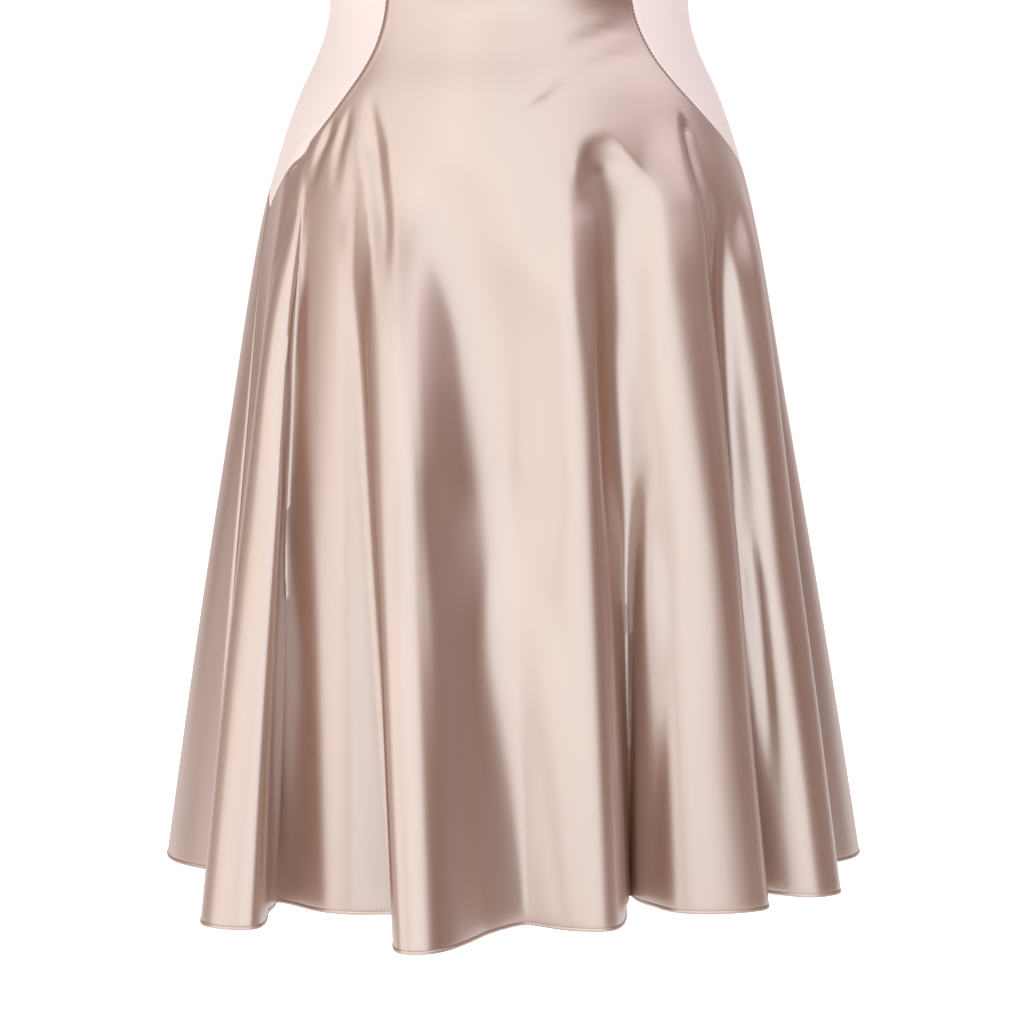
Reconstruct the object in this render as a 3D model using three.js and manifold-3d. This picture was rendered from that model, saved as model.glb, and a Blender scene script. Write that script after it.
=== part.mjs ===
// Knee-length fit and flare dress, in millimetres. +X is the picture's right, which is the
// wearer's left. The front faces -Y and +Z is up. The origin is between the shoulders, at the
// height of the shoulder seams' inner ends.
import * as THREE from 'three';
import Module from 'manifold-3d';

// Driving sizes
const SATIN_WALL = 1.2;
const CREPE_WALL = 1.4;
const SEAM_GAP = 0.3;
const HIP_DOWN = 552;
const HEM_DOWN = 1022;
const HIP_TURN = 10;
const NECK_HALF = 80;
const FRONT_NECK_DROP = 110;
const BACK_NECK_DROP = 60;
const NECK_ROUND = 2.2;
const SHOULDER_DROP = 21;
const SHOULDER_LENGTH = 65;
const SHOULDER_FADE = 122;
const ARMHOLE_TOP = 122;
const ARMHOLE_DEPTH = 72;
const ARMHOLE_BLEND = 275;

// Level sections of the worn shape. Front and back are depths from the X axis, square is the
// exponent of the rounded outline, and turn is how far the cloth has swung round, in degrees.
const SECTIONS = [
  { down: 0, half: 150, front: 0.2, back: 0.2, square: 2.5, turn: 0 },
  { down: 3, half: 150, front: 17, back: 16, square: 2.5, turn: 0 },
  { down: 10, half: 151, front: 32, back: 30, square: 2.5, turn: 0 },
  { down: 25, half: 151, front: 49, back: 46, square: 2.5, turn: 0 },
  { down: 50, half: 151, front: 66, back: 61, square: 2.5, turn: 0 },
  { down: 90, half: 150, front: 84, back: 75, square: 2.5, turn: 0 },
  { down: 140, half: 150, front: 104, back: 86, square: 2.5, turn: 0 },
  { down: 190, half: 150, front: 119, back: 91, square: 2.45, turn: 0 },
  { down: 235, half: 151, front: 127, back: 91, square: 2.4, turn: 0 },
  { down: 275, half: 148, front: 125, back: 88, square: 2.3, turn: 0 },
  { down: 315, half: 140, front: 113, back: 84, square: 2.2, turn: 0 },
  { down: 360, half: 130, front: 99, back: 82, square: 2.1, turn: 0 },
  { down: 411, half: 125.5, front: 92, back: 87, square: 2.05, turn: 0 },
  { down: 440, half: 132, front: 97, back: 95, square: 2, turn: 1 },
  { down: 475, half: 148, front: 106, back: 108, square: 2, turn: 3 },
  { down: 515, half: 162, front: 115, back: 121, square: 2, turn: 7 },
  { down: 552, half: 171.5, front: 122, back: 130, square: 2, turn: 10 },
  { down: 600, half: 179, front: 134, back: 140, square: 2, turn: 10 },
  { down: 700, half: 190, front: 155, back: 161, square: 2, turn: 10 },
  { down: 800, half: 201, front: 172, back: 181, square: 2, turn: 10 },
  { down: 900, half: 211, front: 189, back: 198, square: 2, turn: 10 },
  { down: 1022, half: 222, front: 208, back: 216, square: 2, turn: 10 },
];

// Armhole edge, then the seam between a satin panel and a crepe side panel, then the side
// seam: degrees round from the centre line at each depth.
const PANEL_EDGE = [
  { down: 0, degrees: 73.5 },
  { down: 25, degrees: 65 },
  { down: 50, degrees: 56.5 },
  { down: 80, degrees: 51 },
  { down: 122, degrees: 47.8 },
  { down: 160, degrees: 43.5 },
  { down: 205, degrees: 41 },
  { down: 275, degrees: 38.5 },
  { down: 345, degrees: 39 },
  { down: 411, degrees: 41 },
  { down: 440, degrees: 43.8 },
  { down: 465, degrees: 48.6 },
  { down: 489, degrees: 57 },
  { down: 511, degrees: 67.5 },
  { down: 533, degrees: 80 },
  { down: 552, degrees: 90 },
  { down: 553, degrees: 90 },
  { down: 1022, degrees: 90 },
];

// Rows of points that every panel shares along its seams
const ROWS = [
  0, 3, 10, 25, 50, 80, 122, 160, 205, 275, 345, 411, 440, 465, 489, 511, 533, 552,
  590, 650, 740, 840, 940, 1022,
];

// Folds of the skirt in order round it, from the wearer's right side over the front. Hip is
// where a fold's crest leaves the hip, from and to are the two shoulders of its crest at the
// hem, and dip is the hollow after it, all in degrees round from the front. The reaches are
// distances of the hem from the Z axis, and the starts are depths.
const FOLD_NAMES = [
  'name', 'hip', 'from', 'fromReach', 'to', 'toReach', 'dipHip', 'dip', 'dipReach',
  'start', 'dipStart',
];
const FOLDS = [
  ['right side', -90, -97, 247, -84, 247, -73, -65, 190, 500, 510],
  ['right front', -62, -49, 277, -40, 254, -53, -52, 206, 490, 550],
  ['right front ridge', -45, -40, 200, -33, 191, -38, -23, 176, 540, 500],
  ['centre', -29, -17, 256, -10, 250, -4, 3, 177, 495, 560],
  ['centre left', 13, 12, 202, 21, 208, 24, 37, 136, 530, 505],
  ['left front', 40, 35, 192, 51, 232, 56, 57, 184, 490, 475],
  ['left side', 70, 60, 240, 66, 255, 80, 74, 190, 500, 520],
  ['left outer', 92, 85, 249, 93, 257, 105, 103, 192, 520, 520],
  ['left back', 119, 114, 252, 123, 260, 133, 133, 182, 520, 520],
  ['left inner', 146, 143, 252, 153, 254, 161, 164, 176, 520, 530],
  ['centre back', 178, 175, 246, 185, 252, 196, 197, 184, 530, 530],
  ['right inner', 211, 207, 258, 216, 254, 225, 225, 176, 520, 520],
  ['right back', 240, 236, 254, 245, 258, 255, 254, 190, 520, 510],
].map((row) => Object.fromEntries(row.map((value, i) => [FOLD_NAMES[i], value])));
const CREST_SPREAD = 4;
const FOLD_STEPS = 24;
const FOLD_ROUNDINGS = 46;
const FOLD_EASE = 0.12;
const HEM_SPACING = 18;
const TURN_ENDS = 100;

// Centre back zip, its slider and its pull
const ZIP_TOP = 84;
const ZIP_BOTTOM = 552;
const ZIP_HALF_WIDTH = 11;
const ZIP_THICKNESS = 1;
const ZIP_CLEARANCE = 1;
const ZIP_SLIT = 1.6;
const SLIDER_DOWN = 73;
const SLIDER = { width: 8, length: 13, depth: 3, inside: 1.8 };
const BRIDGE = { thickness: 1, half: 2, out: 1.6, eye: 1 };
const PULL = {
  thickness: 1.2, bar: 0.6, half: 2.4, slot: 1, slotEnd: 4, neck: 5, length: 21, endHalf: 3,
};

// Smooth curve through the rows of a table, read at a depth
function readTable(table, column, down) {
  const last = table.length - 1;
  let i = 0;
  while (i < last - 1 && down > table[i + 1].down) {
    i += 1;
  }
  const before = table[Math.max(i - 1, 0)];
  const here = table[i];
  const next = table[i + 1];
  const after = table[Math.min(i + 2, last)];
  const span = next.down - here.down;
  const t = THREE.MathUtils.clamp((down - here.down) / span, 0, 1);
  const slopeHere = (next[column] - before[column]) / (next.down - before.down);
  const slopeNext = (after[column] - here[column]) / (after.down - here.down);
  const t2 = t * t;
  const t3 = t2 * t;
  return (2 * t3 - 3 * t2 + 1) * here[column] + (t3 - 2 * t2 + t) * span * slopeHere
    + (3 * t2 - 2 * t3) * next[column] + (t3 - t2) * span * slopeNext;
}

// Share of the cloth's turn that a place has: all of it in front, none at the centre back
function turnShare(degrees) {
  return 1 - THREE.MathUtils.smoothstep(Math.abs(degrees), TURN_ENDS, 180);
}

// Plain worn shape without folds
function plainPoint(degrees, down) {
  const half = readTable(SECTIONS, 'half', down);
  const power = 2 / readTable(SECTIONS, 'square', down);
  const turn = readTable(SECTIONS, 'turn', down) * turnShare(degrees);
  const angle = THREE.MathUtils.degToRad(degrees + turn);
  const across = Math.sin(angle);
  const ahead = Math.cos(angle);
  const depth = readTable(SECTIONS, ahead > 0 ? 'front' : 'back', down);
  const x = half * Math.sign(across) * Math.abs(across) ** power;
  const y = -depth * Math.sign(ahead) * Math.abs(ahead) ** power;
  const along = THREE.MathUtils.clamp((Math.abs(x) - NECK_HALF) / SHOULDER_LENGTH, 0, 1);
  const fade = 1 - THREE.MathUtils.smoothstep(down, 0, SHOULDER_FADE);
  return new THREE.Vector3(x, y, -down - SHOULDER_DROP * along ** 1.2 * fade);
}

// Closed line of the hem through the folds' shoulders and dips, each point with the hip
// angle it hangs from
function makeHemLine() {
  const marks = [];
  const addMark = (hip, degrees, reach, start) => {
    const angle = THREE.MathUtils.degToRad(degrees);
    const spot = new THREE.Vector3(reach * Math.sin(angle), -reach * Math.cos(angle), 0);
    marks.push({ hip, spot, start });
  };
  FOLDS.forEach((fold) => {
    addMark(fold.hip - CREST_SPREAD, fold.from, fold.fromReach, fold.start);
    addMark(fold.hip + CREST_SPREAD, fold.to, fold.toReach, fold.start);
    addMark(fold.dipHip, fold.dip, fold.dipReach, fold.dipStart);
  });
  const curve = new THREE.CatmullRomCurve3(marks.map((mark) => mark.spot), true, 'centripetal');
  const line = [];
  marks.forEach((mark, i) => {
    const next = marks[(i + 1) % marks.length];
    const lap = i === marks.length - 1 ? 360 : 0;
    for (let k = 0; k < FOLD_STEPS; k += 1) {
      const s = k / FOLD_STEPS;
      const spot = curve.getPoint((i + s) / marks.length);
      const blend = (1 - Math.cos(Math.PI * s)) / 2;
      line.push({
        hip: mark.hip + (next.hip + lap - mark.hip) * s,
        x: spot.x,
        y: spot.y,
        start: mark.start + (next.start - mark.start) * blend,
      });
    }
  });
  for (let pass = 0; pass < FOLD_ROUNDINGS; pass += 1) {
    const old = line.map((p) => [p.x, p.y]);
    line.forEach((p, i) => {
      const before = old[(i + line.length - 1) % line.length];
      const after = old[(i + 1) % line.length];
      p.x = (before[0] + 2 * old[i][0] + after[0]) / 4;
      p.y = (before[1] + 2 * old[i][1] + after[1]) / 4;
    });
  }
  return line;
}

const HEM_LINE = makeHemLine();

function hemAt(hip) {
  const first = HEM_LINE[0].hip;
  const turned = THREE.MathUtils.euclideanModulo(hip - first, 360) + first;
  let i = 0;
  while (i < HEM_LINE.length - 1 && HEM_LINE[i + 1].hip <= turned) {
    i += 1;
  }
  const here = HEM_LINE[i];
  const next = HEM_LINE[(i + 1) % HEM_LINE.length];
  const nextHip = i === HEM_LINE.length - 1 ? first + 360 : next.hip;
  const t = (turned - here.hip) / (nextHip - here.hip);
  return {
    x: here.x + (next.x - here.x) * t,
    y: here.y + (next.y - here.y) * t,
    start: here.start + (next.start - here.start) * t,
  };
}

// Outer face of the cloth: the plain shape, drawn out to the hem line below the hip
function clothPoint(degrees, down) {
  const point = plainPoint(degrees, down);
  const hem = hemAt(degrees + HIP_TURN * turnShare(degrees));
  if (down <= hem.start) {
    return point;
  }
  const plainHem = plainPoint(degrees, HEM_DOWN);
  const q = (down - hem.start) / (HEM_DOWN - hem.start);
  const weight = q * q * (1 + FOLD_EASE) / (q + FOLD_EASE);
  point.x += weight * (hem.x - plainHem.x);
  point.y += weight * (hem.y - plainHem.y);
  return point;
}

function clothNormal(degrees, down) {
  const above = clothPoint(degrees, Math.max(down - 0.6, 0.05));
  const below = clothPoint(degrees, Math.min(Math.max(down, 0.05) + 0.6, HEM_DOWN));
  const before = clothPoint(degrees - 0.3, Math.max(down, 0.05));
  const after = clothPoint(degrees + 0.3, Math.max(down, 0.05));
  return below.sub(above).cross(after.sub(before)).normalize();
}

function millimetresPerDegree(degrees, down) {
  return clothPoint(degrees + 0.25, down).distanceTo(clothPoint(degrees - 0.25, down)) * 2;
}

// Edge of a panel at a depth, moved aside by half the seam's gap
function edgeDegrees(down) {
  return readTable(PANEL_EDGE, 'degrees', down);
}

function seamDegrees(side, isBack, down, away) {
  const plain = edgeDegrees(down);
  const scale = millimetresPerDegree(side * (isBack ? 180 - plain : plain), down);
  const slope = (edgeDegrees(down + 1) - edgeDegrees(Math.max(down - 1, 0))) / 2 * scale;
  return plain + away * SEAM_GAP / 2 * Math.sqrt(1 + slope * slope) / scale;
}

// Closed wall over a grid of places, with rims round every free edge
function makeWall(rows, columns, place, hasCell, wall, behind = 0) {
  const positions = [];
  const numbers = new Map();
  const outer = [];
  const inner = [];
  const vertex = (point) => {
    const key = point.toArray().map((value) => value.toFixed(4)).join(' ');
    if (!numbers.has(key)) {
      numbers.set(key, positions.length / 3);
      positions.push(...point.toArray());
    }
    return numbers.get(key);
  };
  for (let r = 0; r < rows; r += 1) {
    outer.push([]);
    inner.push([]);
    for (let c = 0; c < columns; c += 1) {
      const spot = place(r, c);
      if (spot) {
        const point = clothPoint(spot.degrees, spot.down);
        const normal = clothNormal(spot.degrees, spot.down);
        const face = point.clone().addScaledVector(normal, -behind);
        const back = point.clone().addScaledVector(normal, -behind - wall);
        if (spot.down < 0.01) {
          back.set(face.x, face.y, face.z - wall);
        }
        outer[r].push(vertex(face));
        inner[r].push(vertex(back));
      } else {
        outer[r].push(-1);
        inner[r].push(-1);
      }
    }
  }
  const triangles = [];
  const addFace = (a, b, c) => {
    if (a !== b && b !== c && a !== c) {
      triangles.push([a, b, c]);
    }
  };
  const partner = new Map();
  for (let r = 0; r < rows; r += 1) {
    for (let c = 0; c < columns; c += 1) {
      partner.set(outer[r][c], inner[r][c]);
    }
  }
  for (let r = 0; r < rows - 1; r += 1) {
    for (let c = 0; c < columns - 1; c += 1) {
      if (hasCell(r, c)) {
        addFace(outer[r][c], outer[r + 1][c], outer[r][c + 1]);
        addFace(outer[r][c + 1], outer[r + 1][c], outer[r + 1][c + 1]);
      }
    }
  }
  const index = [];
  const free = new Map();
  for (const [a, b, c] of triangles) {
    index.push(a, b, c, partner.get(a), partner.get(c), partner.get(b));
    for (const [from, to] of [[a, b], [b, c], [c, a]]) {
      if (free.has(`${to} ${from}`)) {
        free.delete(`${to} ${from}`);
      } else {
        free.set(`${from} ${to}`, [from, to]);
      }
    }
  }
  for (const [from, to] of free.values()) {
    const fromInner = partner.get(from);
    const toInner = partner.get(to);
    index.push(to, from, fromInner, to, fromInner, toInner);
  }
  const geometry = new THREE.BufferGeometry();
  geometry.setAttribute('position', new THREE.Float32BufferAttribute(positions, 3));
  geometry.setIndex(index);
  geometry.computeVertexNormals();
  return geometry;
}

const dress = new THREE.Group();
dress.name = 'dress';

function addNode(name, geometry, colour, roughness, metalness) {
  const material = new THREE.MeshStandardMaterial({ color: colour, roughness, metalness });
  const mesh = new THREE.Mesh(geometry, material);
  mesh.name = name;
  dress.add(mesh);
}

// Columns between two places follow the folds: each stretch between two marks of the hem is
// cut evenly
function foldColumns(from, to) {
  const hipOf = (degrees) => degrees + HIP_TURN * turnShare(degrees);
  const degreesOf = (hip) => {
    let low = from;
    let high = to;
    for (let i = 0; i < 40; i += 1) {
      const middle = (low + high) / 2;
      if (hipOf(middle) < hip) {
        low = middle;
      } else {
        high = middle;
      }
    }
    return (low + high) / 2;
  };
  const lines = [hipOf(from), hipOf(to)];
  for (const lap of [-360, 0, 360]) {
    for (let i = 0; i < HEM_LINE.length; i += FOLD_STEPS) {
      const hip = HEM_LINE[i].hip + lap;
      if (hip > lines[0] + 1.5 && hip < lines[1] - 1.5) {
        lines.push(hip);
      }
    }
  }
  lines.sort((a, b) => a - b);
  const columns = [];
  for (let i = 0; i < lines.length - 1; i += 1) {
    const start = hemAt(lines[i]);
    const end = hemAt(lines[i + 1]);
    const width = Math.hypot(end.x - start.x, end.y - start.y);
    const steps = Math.max(3, Math.round(width / HEM_SPACING));
    for (let k = 0; k < steps; k += 1) {
      columns.push(degreesOf(lines[i] + (lines[i + 1] - lines[i]) * k / steps));
    }
  }
  columns[0] = from;
  columns.push(to);
  return columns;
}

// Neckline: half width at a depth, and depth at a half width
function neckHalf(drop, down) {
  return NECK_HALF * Math.max(1 - (down / drop) ** NECK_ROUND, 0) ** (1 / NECK_ROUND);
}

function neckDown(drop, x) {
  return drop * Math.max(1 - (x / NECK_HALF) ** NECK_ROUND, 0) ** (1 / NECK_ROUND);
}

function degreesAtHalf(x, down) {
  const power = readTable(SECTIONS, 'square', down) / 2;
  const share = Math.min(x / readTable(SECTIONS, 'half', down), 1);
  return THREE.MathUtils.radToDeg(Math.asin(share ** power));
}

// Satin panel from the shoulder to the hem. A column's share runs from 0 on the centre line
// to 1 on the armhole, the crepe seam and the side seam.
function satinPlace(drop, corner, isBack, side, share, row) {
  const down = ROWS[row];
  const away = down < ARMHOLE_TOP ? 0 : -1;
  const edge = seamDegrees(side, isBack, down, away);
  const cornerShare = degreesAtHalf(neckHalf(drop, corner), corner) / edgeDegrees(corner);
  let place = { degrees: share * edge, down };
  if (down < corner) {
    if (share < cornerShare - 1e-6) {
      return null;
    }
    const along = (share - cornerShare) / (1 - cornerShare);
    const inner = degreesAtHalf(neckHalf(drop, down), down);
    place = { degrees: inner + (edge - inner) * along, down };
  } else if (down < ARMHOLE_TOP && share < cornerShare) {
    const power = 2 / readTable(SECTIONS, 'square', corner);
    const sine = Math.sin(THREE.MathUtils.degToRad(share * edgeDegrees(corner)));
    const top = neckDown(drop, readTable(SECTIONS, 'half', corner) * sine ** power);
    const t = (down - corner) / (ARMHOLE_TOP - corner);
    place.down = top + (ARMHOLE_TOP - top) * t;
  }
  return place;
}

function shareColumns(columns, centre, corner, drop) {
  const cornerShare = degreesAtHalf(neckHalf(drop, corner), corner) / edgeDegrees(corner);
  const shares = columns.map((degrees) => (degrees - centre) / 90);
  for (const sign of [-1, 1]) {
    const wanted = sign * cornerShare;
    let nearest = -1;
    shares.forEach((share, i) => {
      const isCloser = nearest < 0 || Math.abs(share - wanted) < Math.abs(shares[nearest] - wanted);
      if (isCloser) {
        nearest = i;
      }
    });
    if (Math.abs(shares[nearest] - wanted) < 0.1) {
      shares[nearest] = wanted;
    }
  }
  return shares;
}

// Front panel, satin, cut in one from the neck to the hem
const FRONT_CORNER = 80;
const frontShares = shareColumns(
  foldColumns(-90, 90), 0, FRONT_CORNER, FRONT_NECK_DROP,
);
const frontPlace = (row, column) => {
  const share = frontShares[column];
  const side = Math.sign(share) || 1;
  const place = satinPlace(FRONT_NECK_DROP, FRONT_CORNER, false, side, Math.abs(share), row);
  return place && { degrees: side * place.degrees, down: place.down };
};
addNode('front_panel', makeWall(
  ROWS.length,
  frontShares.length,
  frontPlace,
  (r, c) => Boolean(frontPlace(r, c) && frontPlace(r, c + 1)),
  SATIN_WALL,
), 0xdcc0ae, 0.32, 0);

// Back panels, satin, with the zip between them down to the hip
const BACK_CORNER = 25;
function centreBackDegrees(down) {
  const open = 1 - THREE.MathUtils.smoothstep(down, HIP_DOWN - 12, HIP_DOWN + 38);
  const aside = (SEAM_GAP + (ZIP_SLIT - SEAM_GAP) * open) / 2;
  return aside / millimetresPerDegree(180, Math.max(down, 40));
}

function addBackPanel(name, side) {
  const columns = side > 0 ? foldColumns(90, 180) : foldColumns(-180, -90);
  const shares = shareColumns(columns, side * 180, BACK_CORNER, BACK_NECK_DROP);
  const place = (row, column) => {
    const share = Math.abs(shares[column]);
    const spot = satinPlace(BACK_NECK_DROP, BACK_CORNER, true, side, share, row);
    if (!spot) {
      return null;
    }
    const aside = centreBackDegrees(spot.down) * (1 - share);
    return { degrees: side * (180 - spot.degrees - aside), down: spot.down };
  };
  addNode(name, makeWall(
    ROWS.length,
    shares.length,
    place,
    (r, c) => Boolean(place(r, c) && place(r, c + 1)),
    SATIN_WALL,
  ), 0xdcc0ae, 0.32, 0);
}

addBackPanel('back_panel_left', 1);
addBackPanel('back_panel_right', -1);

// Side panels, crepe, from the underarm to a point on the hip
const SIDE_COLUMNS = 12;
const SIDE_ROWS = ROWS.filter((down) => down >= ARMHOLE_TOP && down <= HIP_DOWN);
function addSidePanel(name, side) {
  const place = (row, column) => {
    const across = 2 * column / SIDE_COLUMNS - 1;
    const seamDown = SIDE_ROWS[row];
    if (seamDown === HIP_DOWN) {
      return { degrees: side * 90, down: HIP_DOWN - 0.3 };
    }
    const isBack = across > 0;
    const seam = seamDegrees(side, isBack, seamDown, 1);
    const dip = ARMHOLE_DEPTH * Math.sqrt(Math.max(1 - across * across, 0));
    const blend = (ARMHOLE_BLEND - seamDown) / (ARMHOLE_BLEND - ARMHOLE_TOP);
    const down = seamDown + dip * Math.max(blend, 0);
    return { degrees: side * (90 + across * (90 - seam)), down };
  };
  const ordered = (row, column) => place(row, side > 0 ? column : SIDE_COLUMNS - column);
  addNode(name, makeWall(
    SIDE_ROWS.length,
    SIDE_COLUMNS + 1,
    ordered,
    () => true,
    CREPE_WALL,
  ), 0xf3e7e2, 0.85, 0);
}

addSidePanel('side_panel_left', 1);
addSidePanel('side_panel_right', -1);

// Closed zip, a strip behind the centre back edges
const ZIP_ROWS = [ZIP_TOP, ...ROWS.filter((down) => down > ZIP_TOP + 10 && down <= ZIP_BOTTOM)];
addNode('zip', makeWall(
  ZIP_ROWS.length,
  5,
  (row, column) => {
    const down = ZIP_ROWS[row];
    const x = ZIP_HALF_WIDTH * (column - 2) / 2;
    return { degrees: 180 + x / millimetresPerDegree(180, down), down };
  },
  () => true,
  ZIP_THICKNESS,
  SATIN_WALL + ZIP_CLEARANCE,
), 0xd9c2b2, 0.6, 0);

// The slider and pull stand on the cloth's outer face: x across, n outwards, t down the back
const sliderFoot = clothPoint(180, SLIDER_DOWN);
const outward = clothNormal(180, SLIDER_DOWN).setX(0).normalize();
const acrossBack = new THREE.Vector3(1, 0, 0);
const downBack = new THREE.Vector3().crossVectors(acrossBack, outward).negate();
const stand = new THREE.Matrix4().makeBasis(acrossBack, outward, downBack.negate());
stand.setPosition(sliderFoot);

const { Manifold, Mesh: ManifoldMesh } = await Module().then((wasm) => {
  wasm.setup();
  return wasm;
});

function toManifold(geometry) {
  const mesh = new ManifoldMesh({
    numProp: 3,
    vertProperties: Float32Array.from(geometry.getAttribute('position').array),
    triVerts: geometry.index
      ? Uint32Array.from(geometry.index.array)
      : Uint32Array.from({ length: geometry.getAttribute('position').count }, (_, i) => i),
  });
  mesh.merge();
  return new Manifold(mesh);
}

function toGeometry(solid) {
  const mesh = solid.getMesh();
  const geometry = new THREE.BufferGeometry();
  geometry.setAttribute('position', new THREE.BufferAttribute(mesh.vertProperties, 3));
  geometry.setIndex(new THREE.BufferAttribute(mesh.triVerts, 1));
  geometry.computeVertexNormals();
  return geometry;
}

// Slider: a block inside the cloth, with a bridge that comes out through the slit
const sliderBlock = new THREE.BoxGeometry(SLIDER.width, SLIDER.depth, SLIDER.length);
sliderBlock.translate(0, -SLIDER.inside - SLIDER.depth / 2, 0);
const bridgeShape = new THREE.Shape();
bridgeShape.moveTo(-SLIDER.inside - 0.5, -BRIDGE.half);
bridgeShape.absarc(BRIDGE.out, 0, BRIDGE.half, -Math.PI / 2, Math.PI / 2, false);
bridgeShape.lineTo(-SLIDER.inside - 0.5, BRIDGE.half);
bridgeShape.closePath();
const bridgeEye = new THREE.Path();
bridgeEye.absarc(BRIDGE.out, 0, BRIDGE.eye, 0, 2 * Math.PI, true);
bridgeShape.holes.push(bridgeEye);
const bridge = new THREE.ExtrudeGeometry(bridgeShape, {
  depth: BRIDGE.thickness,
  bevelEnabled: false,
  curveSegments: 10,
});
bridge.translate(0, 0, -BRIDGE.thickness / 2);
bridge.applyMatrix4(new THREE.Matrix4().makeBasis(
  new THREE.Vector3(0, 1, 0),
  new THREE.Vector3(0, 0, 1),
  new THREE.Vector3(1, 0, 0),
));
const slider = toGeometry(toManifold(sliderBlock).add(toManifold(bridge)));
slider.applyMatrix4(stand);
addNode('zip_slider', slider, 0xcdb5a4, 0.35, 0.8);

// Pull: a flat tab whose top bar runs through the bridge's eye
const pullShape = new THREE.Shape();
pullShape.moveTo(-PULL.half, PULL.bar);
pullShape.lineTo(-PULL.half, -PULL.neck);
pullShape.absarc(0, -PULL.length + PULL.endHalf, PULL.endHalf, Math.PI, 2 * Math.PI, false);
pullShape.lineTo(PULL.half, -PULL.neck);
pullShape.lineTo(PULL.half, PULL.bar);
pullShape.closePath();
const pullSlot = new THREE.Path();
pullSlot.moveTo(-PULL.slot, -PULL.bar);
pullSlot.lineTo(PULL.slot, -PULL.bar);
pullSlot.lineTo(PULL.slot, -PULL.slotEnd);
pullSlot.lineTo(-PULL.slot, -PULL.slotEnd);
pullSlot.closePath();
pullShape.holes.push(pullSlot);
const pull = new THREE.ExtrudeGeometry(pullShape, {
  depth: PULL.thickness,
  bevelEnabled: false,
  curveSegments: 10,
});
pull.translate(0, 0, -PULL.thickness / 2);
pull.applyMatrix4(new THREE.Matrix4().makeBasis(
  new THREE.Vector3(1, 0, 0),
  new THREE.Vector3(0, 0, 1),
  new THREE.Vector3(0, -1, 0),
));
pull.translate(0, BRIDGE.out, 0);
pull.applyMatrix4(stand);
addNode('zip_pull', pull, 0xcdb5a4, 0.35, 0.8);

export default dress;
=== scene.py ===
import math

import bpy
import numpy as np
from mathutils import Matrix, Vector


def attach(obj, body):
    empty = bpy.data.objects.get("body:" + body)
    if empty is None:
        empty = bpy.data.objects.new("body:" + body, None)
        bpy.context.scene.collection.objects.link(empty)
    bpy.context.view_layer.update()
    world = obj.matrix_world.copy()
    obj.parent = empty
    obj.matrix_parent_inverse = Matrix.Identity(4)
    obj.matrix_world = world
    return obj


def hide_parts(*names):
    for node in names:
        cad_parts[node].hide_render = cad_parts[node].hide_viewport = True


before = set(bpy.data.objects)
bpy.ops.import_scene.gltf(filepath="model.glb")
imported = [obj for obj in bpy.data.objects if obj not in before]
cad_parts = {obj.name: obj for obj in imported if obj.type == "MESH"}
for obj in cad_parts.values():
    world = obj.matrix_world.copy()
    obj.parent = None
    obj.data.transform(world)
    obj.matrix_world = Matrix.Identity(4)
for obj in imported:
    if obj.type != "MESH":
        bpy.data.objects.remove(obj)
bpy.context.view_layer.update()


# Front panel. Satin cut in one piece from the neck to the hem, close over the body and
# flared below the hip, where it falls in deep folds. It is pressed flat over the waist,
# joined at the shoulders and side seams, and its hem is turned once and machine stitched.
# Lengths are in millimetres, and a place on the cloth is given by its degrees round from the
# centre front and its depth down from the shoulders.
MM = 0.001
SEAM_TOP = 122.0
HIP_DOWN = 552.0
HEM_DOWN = 1022.0
SHOULDER_RUN = 65
SHOULDER_FALL = 21
NECK_HALF = 80.0
NECK_ROUND = 2.2
FRONT_NECK_DROP = 110
FRONT_NECK_CORNER = 80
SATIN_THICK = 0.75
SEAM_GAP = 0.15
HEM_STITCHED = 2.4

# degrees that the sections below the hip are turned by, and half the width of a fold's crest
HIP_TURN = 10.0
CREST_HALF = 4
# places on the hem line between two marks, rounds of smoothing, how softly a fold starts
HEM_STEPS = 24
HEM_ROUNDS = 46
FOLD_START = 0.12

# down from the shoulders, half width, depth in front, depth behind, roundness, turn
WORN_SHAPE = np.array([
    (0, 150, 0.2, 0.2, 2.5, 0), (3, 150, 17, 16, 2.5, 0), (10, 151, 32, 30, 2.5, 0),
    (25, 151, 49, 46, 2.5, 0), (50, 151, 66, 61, 2.5, 0), (90, 150, 84, 75, 2.5, 0),
    (140, 150, 104, 86, 2.5, 0), (190, 150, 119, 91, 2.45, 0), (235, 151, 127, 91, 2.4, 0),
    (275, 148, 125, 88, 2.3, 0), (315, 140, 113, 84, 2.2, 0), (360, 130, 99, 82, 2.1, 0),
    (411, 125.5, 92, 87, 2.05, 0), (440, 132, 97, 95, 2, 1), (475, 148, 106, 108, 2, 3),
    (515, 162, 115, 121, 2, 7), (552, 171.5, 122, 130, 2, 10), (600, 179, 134, 140, 2, 10),
    (700, 190, 155, 161, 2, 10), (800, 201, 172, 181, 2, 10), (900, 211, 189, 198, 2, 10),
    (1022, 222, 208, 216, 2, 10),
])
# down, degrees round from the centre line where the panel ends
PANEL_EDGE = np.array([
    (0, 73.5), (25, 65), (50, 56.5), (80, 51), (122, 47.8), (160, 43.5), (205, 41),
    (275, 38.5), (345, 39), (411, 41), (440, 43.8), (465, 48.6), (489, 57), (511, 67.5),
    (533, 80), (552, 90), (553, 90), (1022, 90),
])
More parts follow.
